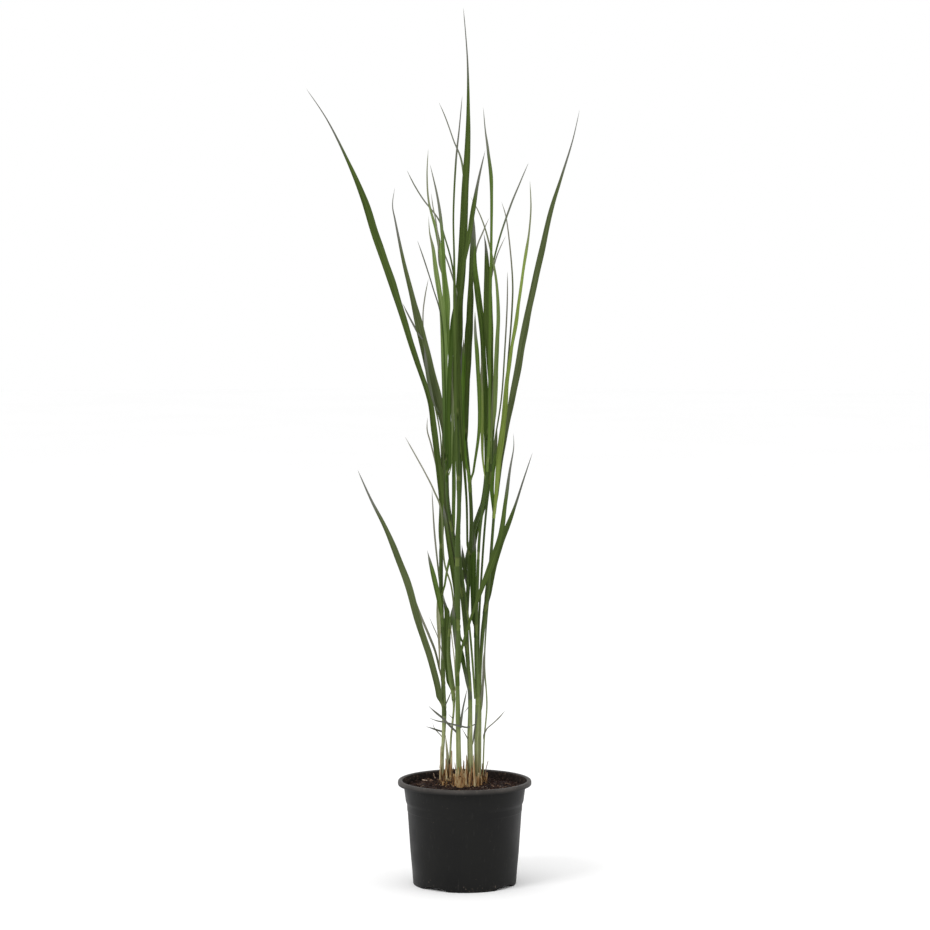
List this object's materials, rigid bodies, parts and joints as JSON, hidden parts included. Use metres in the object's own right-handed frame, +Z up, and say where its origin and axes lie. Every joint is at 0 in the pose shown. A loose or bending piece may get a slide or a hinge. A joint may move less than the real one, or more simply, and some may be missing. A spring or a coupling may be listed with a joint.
{
  "type": "potted ornamental grass",
  "caption": "Sparse upright clump of tall ornamental grass with long narrow leaves, growing in a round black plastic nursery pot.",
  "frame": {"origin": "centre of the pot's flat underside, on the surface it stands on", "axes": "+Z up along the pot's axis, +X to the right and -Y towards the viewer of the front"},
  "size_m": [0.346, 0.175, 1.104],
  "materials": {
    "pot": "satin black moulded plastic, dusty near the base",
    "soil": "dark moist peat with fibres",
    "crown": "dry fibrous rootstock and cut straw",
    "culm": "smooth green stem",
    "blade": "finely ribbed green leaf"
  },
  "bodies": {
    "root": {"blade_centre": "blade", "blade_far_left_inner": "blade", "blade_high_left": "blade", "blade_high_middle": "blade", "blade_high_right": "blade", "blade_inner_long": "blade", "blade_left_arching": "blade", "blade_left_dark": "blade", "blade_left_diagonal": "blade", "blade_left_hooked": "blade", "blade_left_inner": "blade", "blade_left_light": "blade", "blade_left_slender": "blade", "blade_left_upright": "blade", "blade_left_wiry": "blade", "blade_left_wisp": "blade", "blade_low_crossing": "blade", "blade_low_left": "blade", "blade_low_left_short": "blade", "blade_low_left_thin": "blade", "blade_low_left_wisp": "blade", "blade_middle_light": "blade", "blade_middle_narrow": "blade", "blade_middle_short": "blade", "blade_middle_wisp": "blade", "blade_right_arching": "blade", "blade_right_light": "blade", "blade_right_olive": "blade", "blade_right_pale": "blade", "blade_right_short": "blade", "blade_right_thread": "blade", "blade_right_upright": "blade", "blade_right_wide": "blade", "blade_right_wiry": "blade", "blade_right_wisp": "blade", "blade_side_crossing": "blade", "blade_side_left": "blade", "blade_side_left_short": "blade", "blade_side_right": "blade", "blade_tallest": "blade", "crown": "crown", "culm_crossing": "culm", "culm_far_left": "culm", "culm_front": "culm", "culm_inner": "culm", "culm_left": "culm", "culm_middle": "culm", "culm_right": "culm", "culm_right_back": "culm", "culm_right_pale": "culm", "culm_right_thin": "culm", "pot": "pot", "soil": "soil"}
  },
  "joints": []
}
